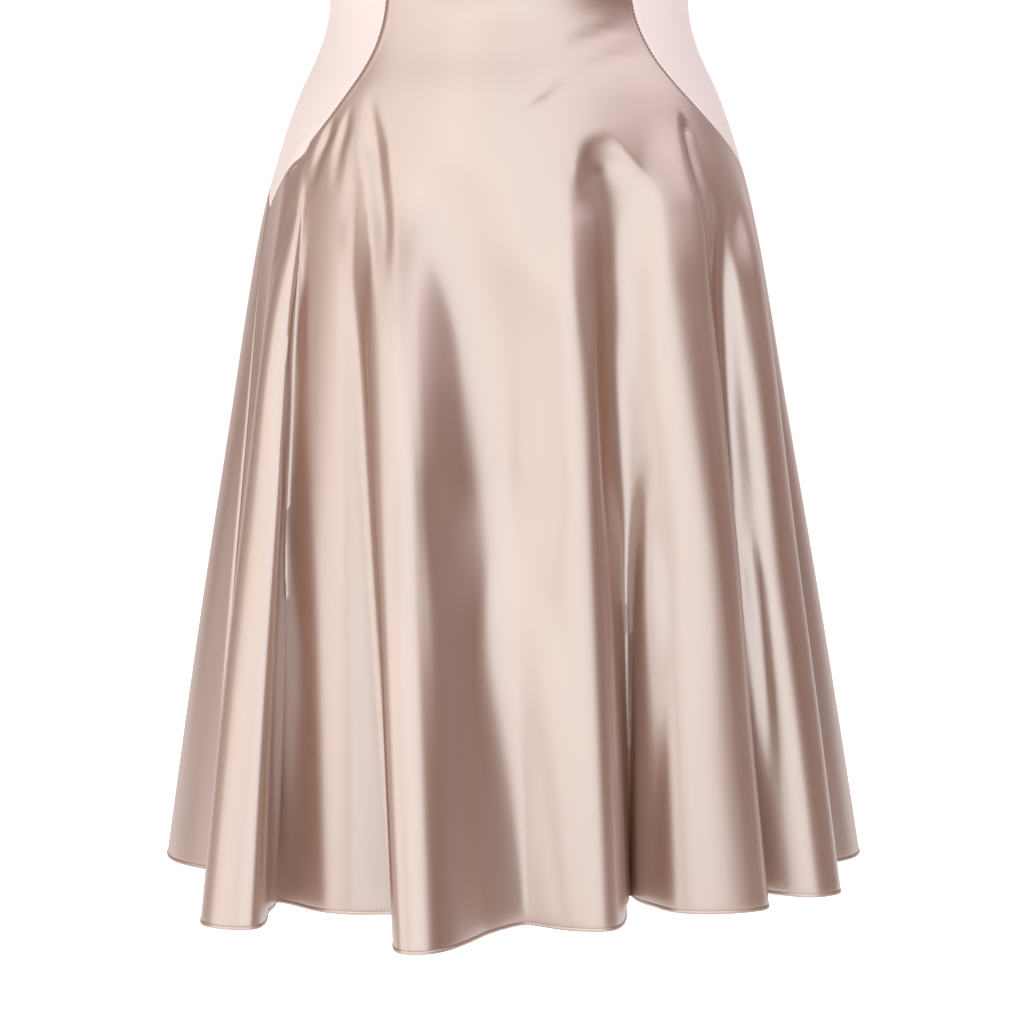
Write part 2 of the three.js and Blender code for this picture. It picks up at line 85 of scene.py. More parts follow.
# hip degrees, crest from, its reach, crest to, its reach, hip degrees of the hollow after
# it, hollow, its reach, depth where the crest starts, depth where the hollow starts
FOLDS = [
    (-90, -97, 247, -84, 247, -73, -65, 190, 500, 510),
    (-62, -49, 277, -40, 254, -53, -52, 206, 490, 550),
    (-45, -40, 200, -33, 191, -38, -23, 176, 540, 500),
    (-29, -17, 256, -10, 250, -4, 3, 177, 495, 560),
    (13, 12, 202, 21, 208, 24, 37, 136, 530, 505),
    (40, 35, 192, 51, 232, 56, 57, 184, 490, 475),
    (70, 60, 240, 66, 255, 80, 74, 190, 500, 520),
    (92, 85, 249, 93, 257, 105, 103, 192, 520, 520),
    (119, 114, 252, 123, 260, 133, 133, 182, 520, 520),
    (146, 143, 252, 153, 254, 161, 164, 176, 520, 530),
    (178, 175, 246, 185, 252, 196, 197, 184, 530, 530),
    (211, 207, 258, 216, 254, 225, 225, 176, 520, 520),
    (240, 236, 254, 245, 258, 255, 254, 190, 520, 510),
]


def smooth(low, high, value):
    """0 below low, 1 above high, and an even curve between."""
    share = np.clip((np.asarray(value, float) - low) / (high - low), 0, 1)
    return share * share * (3 - 2 * share)


def read_table(table, column, down):
    """Smooth curve through one column of a table, read at a depth."""
    at, value = table[:, 0], table[:, column]
    last = len(at) - 1
    here = np.clip(np.searchsorted(at[1:], down, side="left"), 0, last - 1)
    before, after = np.maximum(here - 1, 0), np.minimum(here + 2, last)
    span = at[here + 1] - at[here]
    t = np.clip((down - at[here]) / span, 0, 1)
    slope = (value[here + 1] - value[before]) / (at[here + 1] - at[before])
    slope_next = (value[after] - value[here]) / (at[after] - at[here])
    return (
        (2 * t**3 - 3 * t**2 + 1) * value[here] + (t**3 - 2 * t**2 + t) * span * slope
        + (3 * t**2 - 2 * t**3) * value[here + 1] + (t**3 - t**2) * span * slope_next
    )


def turn_share(degrees):
    """Share of the turn below the hip that a place takes: all in front, none behind."""
    return 1 - smooth(100, 180, np.abs(degrees))


def plain_point(degrees, down):
    """Worn shape without folds: a rounded section, dropped along the shoulders."""
    degrees, down = np.broadcast_arrays(np.asarray(degrees, float), np.asarray(down, float))
    half = read_table(WORN_SHAPE, 1, down)
    power = 2 / read_table(WORN_SHAPE, 4, down)
    angle = np.radians(degrees + read_table(WORN_SHAPE, 5, down) * turn_share(degrees))
    across, ahead = np.sin(angle), np.cos(angle)
    in_front, behind = read_table(WORN_SHAPE, 2, down), read_table(WORN_SHAPE, 3, down)
    depth = np.where(ahead > 0, in_front, behind)
    x = half * np.sign(across) * np.abs(across) ** power
    y = -depth * np.sign(ahead) * np.abs(ahead) ** power
    along = np.clip((np.abs(x) - NECK_HALF) / SHOULDER_RUN, 0, 1)
    drop = SHOULDER_FALL * along**1.2 * (1 - smooth(0, SEAM_TOP, down))
    return np.stack([x, y, -down - drop], -1)


def make_hem_line():
    """Closed line of the hem through the folds, with the hip degrees each place hangs from."""
    marks = []
    for hip, a, reach_a, b, reach_b, dip_hip, dip, reach_dip, start, dip_start in FOLDS:
        for at, turned, reach, begins in (
            (hip - CREST_HALF, a, reach_a, start), (hip + CREST_HALF, b, reach_b, start),
            (dip_hip, dip, reach_dip, dip_start),
        ):
            turned = math.radians(turned)
            marks.append((at, reach * math.sin(turned), -reach * math.cos(turned), begins))
    line = []
    for i, mark in enumerate(marks):
        following = marks[(i + 1) % len(marks)]
        p = [np.array(marks[(i + k) % len(marks)][1:3]) for k in (-1, 0, 1, 2)]
        t = np.cumsum([0] + [np.linalg.norm(p[k + 1] - p[k]) ** 0.5 for k in range(3)])
        leave = (t[2] - t[1]) * ((p[1] - p[0]) / (t[1] - t[0]) - (p[2] - p[0]) / (t[2] - t[0])
                                 + (p[2] - p[1]) / (t[2] - t[1]))
        arrive = (t[2] - t[1]) * ((p[2] - p[1]) / (t[2] - t[1]) - (p[3] - p[1]) / (t[3] - t[1])
                                  + (p[3] - p[2]) / (t[3] - t[2]))
        hips = following[0] + (360 if i == len(marks) - 1 else 0)
        for s in np.arange(HEM_STEPS) / HEM_STEPS:
            spot = ((2 * s**3 - 3 * s**2 + 1) * p[1] + (s**3 - 2 * s**2 + s) * leave
                    + (3 * s**2 - 2 * s**3) * p[2] + (s**3 - s**2) * arrive)
            start = mark[3] + (following[3] - mark[3]) * (1 - math.cos(math.pi * s)) / 2
            line.append((mark[0] + (hips - mark[0]) * s, spot[0], spot[1], start))
    line = np.array(line)
    for _ in range(HEM_ROUNDS):
        around = np.roll(line[:, 1:3], 1, 0) + np.roll(line[:, 1:3], -1, 0)
        line[:, 1:3] = (2 * line[:, 1:3] + around) / 4
    return np.vstack([line, line[0] + (360, 0, 0, 0)])


HEM_LINE = make_hem_line()


def hem_at(hip_degrees, column):
    """One column of the hem line, read below a place on the hip."""
    turned = np.mod(hip_degrees - HEM_LINE[0, 0], 360) + HEM_LINE[0, 0]
    return np.interp(turned, HEM_LINE[:, 0], HEM_LINE[:, column])


def cloth_point(degrees, down):
    """Outer face of the cloth in millimetres: the plain shape, drawn out to the hem line."""
    point = plain_point(degrees, down)
    hip_degrees = degrees + HIP_TURN * turn_share(degrees)
    start = hem_at(hip_degrees, 3)
    q = np.clip((down - start) / (HEM_DOWN - start), 0, None)
    weight = q * q * (1 + FOLD_START) / (q + FOLD_START)
    plain_hem = plain_point(degrees, np.full(np.shape(point)[:-1], HEM_DOWN))
    point[..., 0] += weight * (hem_at(hip_degrees, 1) - plain_hem[..., 0])
    point[..., 1] += weight * (hem_at(hip_degrees, 2) - plain_hem[..., 1])
    return point


def cloth_normal(degrees, down):
    """Direction straight out of the cloth."""
    at = np.maximum(down, 0.05)
    fall = cloth_point(degrees, np.minimum(at + 0.6, HEM_DOWN)) - cloth_point(
        degrees, np.maximum(at - 0.6, 0.05))
    round_it = cloth_point(degrees + 0.3, at) - cloth_point(degrees - 0.3, at)
    normal = np.cross(fall, round_it)
    return normal / np.linalg.norm(normal, axis=-1, keepdims=True)


def mm_per_degree(degrees, down):
    """Length of cloth, along its folds, in one degree."""
    return 2 * np.linalg.norm(
        cloth_point(degrees + 0.25, down) - cloth_point(degrees - 0.25, down), axis=-1)


def neck_half(drop, down):
    """Half width of a neckline of a given drop, at a depth."""
    return NECK_HALF * np.clip(1 - (down / drop) ** NECK_ROUND, 0, None) ** (1 / NECK_ROUND)


def neck_down(drop, x):
    """Depth of the same neckline, at a distance from the centre line."""
    return drop * np.clip(1 - (x / NECK_HALF) ** NECK_ROUND, 0, None) ** (1 / NECK_ROUND)


def degrees_at_half(x, down):
    """Degrees from the centre line to a place on the plain shape."""
    share = np.minimum(x / read_table(WORN_SHAPE, 1, down), 1)
    return np.degrees(np.arcsin(share ** (read_table(WORN_SHAPE, 4, down) / 2)))


# rows of a satin panel, close together at the neckline's corners, the hip and the hem, and
# the columns' distances from a seam, with the columns over which they spread out again
PANEL_ROWS = np.concatenate([
    [0, 1, 3, 6, 10, 17, 25], np.arange(30, 80, 5.5), [80], np.arange(85.5, 120, 5.5), [122],
    np.arange(127.5, 472, 5.6), np.arange(474, 562, 2.9), np.arange(566.5, 1012, 5.6),
    [1014, 1017.4, 1019, 1019.7, 1020.4, 1021.2, 1022],
])
SEAM_STEPS = np.array([0, 0.35, 0.9, 1.8, 3.2])
SPREAD_COLUMNS = 33


def panel_columns(centre, ends, per_column):
    """Shares of a panel from its centre line: even along the hem and round the waist."""
    degrees = np.linspace(ends[0], ends[1], 1441)
    hem = cloth_point(degrees, np.full(1441, HEM_DOWN))
    length = np.concatenate([[0], np.cumsum(np.linalg.norm(np.diff(hem, axis=0), axis=1))])
    even = 0.62 * length + 0.38 * length[-1] * (degrees - ends[0]) / (ends[1] - ends[0])
    count = int(length[-1] / per_column)
    return (np.interp(np.linspace(0, even[-1], count), even, degrees) - centre) / 90


def place_satin(drop, corner, shares, is_back, side_of):
    """Degrees and depth of each place of a satin panel, and which places are cloth. A share
    of 0 is the centre line and 1 the armhole, the crepe seam and the side seam."""
    rows = PANEL_ROWS[:, None]
    share = np.abs(shares)[None, :]
    side = side_of[None, :]
    plain_edge = read_table(PANEL_EDGE, 1, PANEL_ROWS)[:, None]
    edge_at = side * (180 - plain_edge if is_back else plain_edge)
    scale = mm_per_degree(edge_at, rows + 0 * edge_at)
    slope = np.gradient(plain_edge[:, 0], PANEL_ROWS)[:, None] * scale
    open_edge = SEAM_GAP * np.sqrt(1 + slope**2) * (rows >= SEAM_TOP) / scale
    edge = plain_edge - open_edge
    corner_share = float(
        degrees_at_half(neck_half(drop, corner), corner) / read_table(PANEL_EDGE, 1, corner))
    degrees = share * edge
    down = rows + 0 * degrees
    inner = degrees_at_half(neck_half(drop, np.minimum(rows, corner)), np.minimum(rows, corner))
    along = (share - corner_share) / (1 - corner_share)
    above = rows < corner
    degrees = np.where(above, inner + (edge - inner) * along, degrees)
    power = 2 / read_table(WORN_SHAPE, 4, corner)
    sine = np.sin(np.radians(share * read_table(PANEL_EDGE, 1, corner)))
    top = neck_down(drop, read_table(WORN_SHAPE, 1, corner) * sine**power)
    under_neck = (rows >= corner) & (rows < SEAM_TOP) & (share < corner_share - 1e-6)
    t = (rows - corner) / (SEAM_TOP - corner)
    down = np.where(under_neck, top + (SEAM_TOP - top) * t, down)
    cloth = ~(above & (share < corner_share - 1e-6))
    return degrees, down, cloth, edge + 0 * degrees, scale + 0 * degrees


def gather_at_seam(degrees, seam, scale, at_end):
    """Columns close to a seam keep fixed distances from it, for the ditch along it."""
    order = slice(None, None, -1) if at_end else slice(None)
    gap = (np.abs(degrees - seam) * scale)[:, order]
    fixed, widest = len(SEAM_STEPS), SEAM_STEPS[-1]
    first = gap[:, fixed - 1:fixed].copy()
    last = gap[:, SPREAD_COLUMNS - 1:SPREAD_COLUMNS].copy()
    share = (gap[:, fixed:SPREAD_COLUMNS] - first) / (last - first)
    gap[:, fixed:SPREAD_COLUMNS] = widest + (np.maximum(last, 4) - widest) * share
    gap[:, :fixed] = SEAM_STEPS
    moved = gap[:, order] / scale
    return np.where(seam > degrees.mean(1, keepdims=True), seam - moved, seam + moved)


def snap_corner(shares, drop, corner):
    """The column nearest the neckline's corner moves onto it."""
    at = float(
        degrees_at_half(neck_half(drop, corner), corner) / read_table(PANEL_EDGE, 1, corner))
    for wanted in (-at, at):
        nearest = np.argmin(np.abs(shares - wanted))
        if abs(shares[nearest] - wanted) < 0.05:
            shares[nearest] = wanted
    return shares


def crease_push(places, creases):
    """Rise of the cloth over soft ridges and troughs, each a rise, a reach to either side,
    a share that fades at its top and at its end, and a line of degrees and depths."""
    push = np.zeros(places.shape[:-1])
    for rise, reach, fade_in, fade_out, line in creases:
        line = np.array(line, float)
        fine = np.linspace(0, len(line) - 1, 6 * (len(line) - 1) + 1)
        bends = np.stack([np.interp(fine, np.arange(len(line)), line[:, k]) for k in (0, 1)])
        for _ in range(4):
            bends[:, 1:-1] = (bends[:, :-2] + 2 * bends[:, 1:-1] + bends[:, 2:]) / 4
        path = cloth_point(bends[0], bends[1])
        low, high = path.min(0) - reach, path.max(0) + reach
        near = np.all((places > low) & (places < high), axis=-1)
        spots = places[near]
        if not len(spots):
            continue
        best = np.full(len(spots), 1e9)
        along = np.zeros(len(spots))
        for k in range(len(path) - 1):
            leg = path[k + 1] - path[k]
            t = np.clip(((spots - path[k]) @ leg) / (leg @ leg), 0, 1)
            away = np.linalg.norm(spots - path[k] - t[:, None] * leg, axis=1)
            closer = away < best
            best = np.where(closer, away, best)
            along = np.where(closer, (k + t) / (len(path) - 1), along)
        ends = smooth(0, fade_in, along) * (1 - smooth(1 - fade_out, 1, along))
        widen = reach * (0.45 + 0.55 * smooth(0, max(fade_in, 0.3), along))
        across = np.clip(1 - (best / widen) ** 2, 0, None)
        push[near] += rise * ends * across**2
    return push


def sewn_edge(away, turned=False):
    """Fall of the outer face towards a seam, or the raised turning over a stitched edge."""
    if turned:
        turning = 0.35 * (1 - smooth(1.6, 2.6, away)) - 0.3 * (1 - smooth(0, 0.7, away))
        return turning - 0.25 * np.exp(-(((away - HEM_STITCHED) / 0.5) ** 2))
    lip = 0.12 * np.exp(-(((away - 3.2) / 1.4) ** 2))
    return lip - 0.75 * (1 - smooth(0, 2.2, away)) ** 1.5


def select_none():
    for other in bpy.context.selected_objects:
        other.select_set(False)


def lay_cloth(name, degrees, down, cloth, push, wall, materials):
    """A sheet of cloth from a grid of places, given its thickness on the inside."""
    rows, columns = degrees.shape
    select_none()
    bpy.ops.mesh.primitive_grid_add(
        x_subdivisions=columns - 1, y_subdivisions=rows - 1, size=1, calc_uvs=True)
    sheet = bpy.context.object
    sheet.name = name
    spots = cloth_point(degrees, down) + cloth_normal(degrees, down) * push[..., None]
    spots *= MM
    count = len(sheet.data.vertices)
    flat = np.empty(count * 3)
    sheet.data.vertices.foreach_get("co", flat)
    flat = flat.reshape(-1, 3)
    column = np.rint((flat[:, 0] + 0.5) * (columns - 1)).astype(int)
    row = rows - 1 - np.rint((flat[:, 1] + 0.5) * (rows - 1)).astype(int)
    sheet.data.vertices.foreach_set("co", spots[row, column].ravel())
    across = np.linalg.norm(np.diff(spots, axis=1), axis=2)
    across = np.concatenate([np.zeros((rows, 1)), np.cumsum(across, 1)], 1)
    across -= across[:, [columns // 2]]
    fall = np.linalg.norm(np.diff(spots, axis=0), axis=2)
    fall = np.concatenate([np.zeros((1, columns)), np.cumsum(fall, 0)], 0)
    corner = np.empty(len(sheet.data.loops), int)
    sheet.data.loops.foreach_get("vertex_index", corner)
    pattern = np.stack([across[row, column][corner], -fall[row, column][corner]], 1)
    sheet.data.uv_layers[0].name = "cloth"
    sheet.data.uv_layers[0].data.foreach_set("uv", pattern.ravel())
    bpy.ops.object.mode_set(mode="EDIT")
    bpy.ops.mesh.select_mode(type="VERT")
    bpy.ops.mesh.select_all(action="DESELECT")
    bpy.ops.object.mode_set(mode="OBJECT")
    sheet.data.vertices.foreach_set("select", ~cloth[row, column])
    bpy.ops.object.mode_set(mode="EDIT")
    bpy.ops.mesh.delete(type="VERT")
    bpy.ops.mesh.select_all(action="SELECT")
    bpy.ops.mesh.remove_doubles(threshold=0.00002)
    bpy.ops.object.mode_set(mode="OBJECT")
    for material in materials:
        sheet.data.materials.append(material)
    bpy.ops.object.modifier_add(type="SOLIDIFY")
    thick = sheet.modifiers[-1]
    thick.thickness = wall * MM
    thick.offset = -1
    thick.material_offset = 1
    thick.use_quality_normals = True
    bpy.ops.object.modifier_apply(modifier=thick.name)
    bpy.ops.object.shade_smooth_by_angle(angle=math.radians(50))
    return sheet


def linear(colour):
    """An sRGB hex colour as Blender's linear one."""
    channels = [int(colour[i:i + 2], 16) / 255 for i in (1, 3, 5)]
    return [c / 12.92 if c <= 0.04045 else ((c + 0.055) / 1.055) ** 2.4 for c in channels] + [1]


def add_node(material, kind, links=(), **settings):
    """A node with its settings and its incoming links."""
    tree = material.node_tree
    node = tree.nodes.new(kind)
    for key, value in settings.items():
        if hasattr(node, key) and key not in node.inputs:
            setattr(node, key, value)
        else:
            node.inputs[key.replace("_", " ")].default_value = value
    for socket, source in links:
        tree.links.new(source, node.inputs[socket])
    return node


def add_range(material, source, least, most, low=0, high=1):
    """A value from low to high turned into one from least to most."""
    return add_node(
        material, "ShaderNodeMapRange", [("Value", source)],
        From_Min=low, From_Max=high, To_Min=least, To_Max=most).outputs[0]


def add_tone(material, share, dark, pale):
    """A colour that wanders between two."""
    tone = add_node(material, "ShaderNodeMix", [(0, share)], data_type="RGBA")
    tone.inputs[6].default_value = dark
    tone.inputs[7].default_value = pale
    return tone.outputs[2]


def add_weave(material, across, down, detail=2.0):
    """Noise laid on the cloth's flat pattern, so many to the metre across and down."""
    cloth = add_node(material, "ShaderNodeUVMap", uv_map="cloth")
    threads = add_node(
        material, "ShaderNodeMapping", [("Vector", cloth.outputs[0])], Scale=(across, down, 1))
    return add_node(
        material, "ShaderNodeTexNoise", [("Vector", threads.outputs[0])],
        Scale=1.0, Detail=detail).outputs[0]


def new_material(name):
    """A material with no nodes yet."""
    material = bpy.data.materials.new(name)
    material.use_nodes = True
    material.node_tree.nodes.clear()
    return material


def finish_material(material, shader):
    """The material with its shader joined to its surface."""
    output = add_node(material, "ShaderNodeOutputMaterial")
    material.node_tree.links.new(shader.outputs[0], output.inputs["Surface"])
    return material


def make_satin():
    # Blush satin: long floats catch the light in broad soft bands, brown where it turns away
    satin = new_material("blush satin")
    floats = add_weave(satin, 2600, 420, 3.0)
    cloud = add_weave(satin, 16, 7)
    tone = add_tone(satin, cloud, linear("#7c4c2e"), linear("#835233"))
    grain = add_node(
        satin, "ShaderNodeBump", [("Height", floats)], Strength=0.25, Distance=0.00005)
    shader = add_node(
        satin, "ShaderNodeBsdfPrincipled",
        [("Base Color", tone), ("Roughness", add_range(satin, floats, 0.31, 0.37)),
         ("Normal", grain.outputs[0])],
        IOR=2.6, Specular_IOR_Level=1.0, Sheen_Weight=0.06, Sheen_Roughness=0.4,
        Sheen_Tint=linear("#ffe6df"))
    return finish_material(satin, shader)


def make_reverse():
    # Reverse of the satin: the dull side of the weave, a little darker and pinker
    reverse = new_material("satin reverse")
    weave = add_weave(reverse, 1800, 1800)
    tone = add_tone(reverse, weave, linear("#c39a88"), linear("#cda696"))
    shader = add_node(
        reverse, "ShaderNodeBsdfPrincipled", [("Base Color", tone)], Roughness=0.7)
    return finish_material(reverse, shader)


blush_satin = make_satin()
satin_reverse = make_reverse()

# Rise, reach to either side, share that fades in at the top, share that fades out, and the
# line of degrees and depths. A rise below 0 is a trough.
CREASES = [
    # the big centre fold rolls over to its right from just below the hip
    (6.0, 40, 0.4, 0.4, [(-37.5, 540), (-36.5, 611), (-36.3, 680), (-36.5, 750), (-36.8, 830)]),
    (-11.0, 58, 0.45, 0.3, [(-24, 510), (-20, 560), (-17, 611), (-15.2, 663), (-15.0, 715),
                            (-15.6, 767), (-17, 830)]),
    (8.0, 42, 0.45, 0.1, [(-11.5, 760), (-11.5, 830), (-11.8, 900), (-12, 970), (-12, 1040)]),
    # fans of small folds let out of the curved seams in front
    (2.6, 15, 0.3, 0.5, [(-65.7, 533), (-69.0, 580), (-71.8, 620), (-73.0, 680), (-72.8, 740),
                         (-72.4, 811)]),
    (-1.8, 12, 0.3, 0.5, [(-62, 573), (-62.8, 613), (-67, 666), (-66, 719), (-63.5, 772),
                          (-61.5, 824)]),
    (-2.2, 6, 0.3, 0.6, [(-64.0, 500), (-69.0, 513), (-72.2, 529), (-71.9, 552)]),
    (-2.4, 7, 0.35, 0.6, [(-55.1, 488), (-56.5, 500), (-59.6, 513), (-61.7, 531),
                          (-63.9, 549)]),
    (-1.4, 6, 0.3, 0.6, [(-49.1, 481), (-50.3, 497), (-52.2, 512), (-53.0, 529), (-53.0, 545)]),
    (-3.6, 11, 0.3, 0.5, [(-42.6, 470), (-41.2, 497), (-40.9, 519), (-41.2, 545), (-40.4, 578),
                          (-39.5, 611), (-38.8, 660)]),
    (2.4, 14, 0.35, 0.5, [(-47.5, 525), (-47.8, 572), (-47.4, 611), (-46.5, 670)]),
    # the deep hollow right of the centre, and the lip beside it
    (-6.5, 34, 0.15, 0.5, [(15.6, 500), (14.4, 558), (13.6, 611), (12.6, 690)]),
    (-5.0, 22, 0.35, 0.5, [(11.4, 600), (11, 677), (10.4, 743), (10, 830)]),
    (2.2, 17, 0.3, 0.5, [(3.8, 520), (2.6, 571), (3.0, 624), (3.4, 700)]),
    # crest of the left front fold, the valley behind it and the next crest
    (0.8, 45, 0.3, 0.3, [(8, 560), (20, 566), (31, 572), (42, 576), (53, 577), (64, 574)]),
    (4.2, 46, 0.2, 0.3, [(40, 488), (33.5, 533), (30.5, 579), (30.5, 633), (31.5, 686),
                         (32.8, 770), (33.2, 850), (33, 930)]),
    (-5.0, 15, 0.3, 0.5, [(49.5, 528), (46.4, 587), (46.7, 641), (47.7, 702), (48.9, 764),
                          (49.7, 840)]),
    (4.5, 22, 0.3, 0.5, [(62.0, 530), (59.5, 574), (59.1, 622), (59.1, 683), (58.6, 760),
                         (58, 820)]),
    (-2.4, 9, 0.3, 0.4, [(51.0, 760), (51.6, 820), (52.2, 890), (52.6, 970)]),
    (-2.6, 8, 0.12, 0.4, [(47.0, 486), (44.2, 503), (41.0, 535), (39.8, 580), (40.6, 640),
                         (43.4, 720), (47.4, 800)]),
    (6.5, 20, 0.35, 0.1, [(20.5, 720), (20.3, 800), (19.8, 880), (19.3, 960), (19.2, 1040)]),
    (5.5, 18, 0.4, 0.1, [(-63.8, 760), (-63.8, 830), (-64, 900), (-64.2, 970), (-64.2, 1040)]),
    # faint drag lines below the waist
    (-1.0, 8, 0.4, 0.4, [(9.3, 453), (19.9, 442), (31.5, 433), (42.8, 429)]),
    (-0.8, 8, 0.4, 0.4, [(10.9, 470), (21.0, 457), (32.9, 448), (43.3, 445)]),
    (-0.9, 7, 0.4, 0.4, [(-1.3, 486), (7.7, 469), (15.6, 453)]),
    (-1.6, 6, 0.3, 0.1, [(58, 423), (66, 420), (76, 418), (84, 417)]),
    # the same kinds of folds let out of the curved seams behind
    (-3.6, 9, 0.3, 0.5, [(139, 474), (141, 500), (141.5, 522), (141, 550), (139, 600)]),
    (-2.4, 7, 0.35, 0.6, [(126, 487), (122, 503), (119, 520), (117, 545)]),
    (-2.0, 6, 0.3, 0.6, [(113, 503), (109, 518), (108, 540)]),
    (2.6, 12, 0.4, 0.5, [(131, 498), (129, 540), (128, 600), (128, 660)]),
    (-4.0, 9, 0.3, 0.5, [(-137, 475), (-139, 498), (-140, 525), (-139, 560), (-137, 620)]),
    (-2.6, 7, 0.35, 0.6, [(-124, 489), (-121, 505), (-118, 525), (-117, 548)]),
    (-1.8, 6, 0.3, 0.6, [(-112, 505), (-109, 520), (-107, 545)]),
    (2.4, 12, 0.4, 0.5, [(-130, 500), (-128, 545), (-127, 600), (-127, 650)]),
    (-1.2, 9, 0.4, 0.4, [(-176, 470), (-165, 458), (-152, 450), (-141, 447)]),
    (-1.0, 8, 0.4, 0.4, [(176, 452), (166, 444), (154, 438), (143, 437)]),
    (-1.3, 10, 0.4, 0.4, [(30, 262), (34, 285), (36, 312), (38, 335)]),
    (-1.1, 10, 0.4, 0.4, [(-28, 268), (-33, 290), (-36, 318)]),
]

front_shares = snap_corner(
    panel_columns(0, (-90, 90), 5.1), FRONT_NECK_DROP, FRONT_NECK_CORNER)
front_shares = np.concatenate([[-1] * 4, front_shares, [1] * 4])
degrees, down, cloth, edge, scale = place_satin(
    FRONT_NECK_DROP, FRONT_NECK_CORNER, front_shares, False, np.sign(front_shares))
halves = []
for half, seam in ((front_shares <= 0, -1), (front_shares > 0, 1)):
    halves.append(gather_at_seam(
        seam * degrees[:, half], seam * edge[:, half], scale[:, half], seam > 0))
degrees = np.concatenate(halves, 1)
away = (edge - np.abs(degrees)) * scale
push = crease_push(cloth_point(degrees, down), CREASES)
push += sewn_edge(away) + sewn_edge(HEM_DOWN - down, True)
front = lay_cloth(
    "front_panel_cloth", degrees, down, cloth, push, SATIN_THICK, [blush_satin, satin_reverse])
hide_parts("front_panel")
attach(front, "dress")


# Back panels. The same satin, one for each side of the centre back seam, cut from the
# shoulder to the hem with a low round neck. The seam is plain below the hip, and above it
# the two edges are turned in and meet over the zip.
BACK_NECK_DROP = 60
BACK_NECK_CORNER = 25
SLIT_HALF = 0.5
for name, side, ends, hem_width, area in (
    ("back_panel_left", 1, (90, 180), 0.55, 0.236),
    ("back_panel_right", -1, (-180, -90), 0.64, 0.271),
):
    shares = snap_corner(
        panel_columns(side * 180, ends, 4.3), BACK_NECK_DROP, BACK_NECK_CORNER)
    shares = np.concatenate([[shares[0]] * 4, shares, [shares[-1]] * 4])
    degrees, down, cloth, edge, scale = place_satin(
        BACK_NECK_DROP, BACK_NECK_CORNER, shares, True, np.full(len(shares), side))
    degrees = gather_at_seam(degrees, edge, scale, side < 0)
    centre_scale = mm_per_degree(np.full(degrees.shape, 180.0), np.maximum(down, 40))
    degrees = gather_at_seam(degrees, 0 * edge, centre_scale, side > 0)
    open_slit = 1 - smooth(HIP_DOWN - 12, HIP_DOWN + 38, down)
    aside = (SEAM_GAP + SLIT_HALF * open_slit) / centre_scale * (1 - np.abs(shares)[None, :])
    away = (edge - degrees) * scale
    from_centre = degrees * centre_scale
    degrees = side * (180 - degrees - aside)
    push = crease_push(cloth_point(degrees, down), CREASES)
    push += sewn_edge(away) + sewn_edge(from_centre) + sewn_edge(HEM_DOWN - down, True)
    back = lay_cloth(
        name + "_cloth", degrees, down, cloth, push, SATIN_THICK, [blush_satin, satin_reverse])
    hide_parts(name)
    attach(back, "dress")


# Side panels. Matte crepe, curved to a point on the hip and joined into the satin panels by
# a plain seam on either side. The top is turned in along the armhole.
def make_crepe():
    # Matte crepe: no shine, a fine pebbled surface that shows only close up
    crepe = new_material("matte crepe")
    pebble = add_weave(crepe, 1300, 1300, 3.0)
    tone = add_tone(crepe, pebble, linear("#e2d6d5"), linear("#e9dedd"))
    relief = add_node(
        crepe, "ShaderNodeBump", [("Height", pebble)], Strength=0.35, Distance=0.0001)
    shader = add_node(
        crepe, "ShaderNodeBsdfPrincipled",
        [("Base Color", tone), ("Normal", relief.outputs[0])], Roughness=0.85,
        Sheen_Weight=0.15)
    return finish_material(crepe, shader)


matte_crepe = make_crepe()
CREPE_THICK = 0.8
CREPE_DIP = 72.0
CREPE_STRAIGHT = 275
for name, side in (("side_panel_left", 1), ("side_panel_right", -1)):
    seam_down = np.concatenate([np.arange(122, 545, 5.4), [546, 549, 550.6, 551.7]])[:, None]
    across = side * np.sin(np.linspace(-math.pi / 2, math.pi / 2, 57))[None, :]
    plain_edge = read_table(PANEL_EDGE, 1, seam_down)
    edge_at = side * np.where(across > 0, 180 - plain_edge, plain_edge)
    scale = mm_per_degree(edge_at, seam_down + 0 * edge_at)
    slope = np.gradient(plain_edge[:, 0], seam_down[:, 0])[:, None] * scale
    seam = np.minimum(plain_edge + SEAM_GAP * np.sqrt(1 + slope**2) / scale, 90)
    degrees = side * (90 + across * (90 - seam))
    blend = np.clip((CREPE_STRAIGHT - seam_down) / (CREPE_STRAIGHT - SEAM_TOP), 0, None)
    dip = CREPE_DIP * np.sqrt(np.clip(1 - across**2, 0, None))
    down = seam_down + dip * blend
    away = (1 - np.abs(across)) * (90 - seam) * scale / np.sqrt(1 + slope**2)
    push = crease_push(cloth_point(degrees, down), CREASES) + sewn_edge(away)
    crepe = lay_cloth(
        name + "_cloth", degrees, down, np.ones(degrees.shape, bool), push, CREPE_THICK,
        [matte_crepe])
    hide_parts(name)
    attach(crepe, "dress")


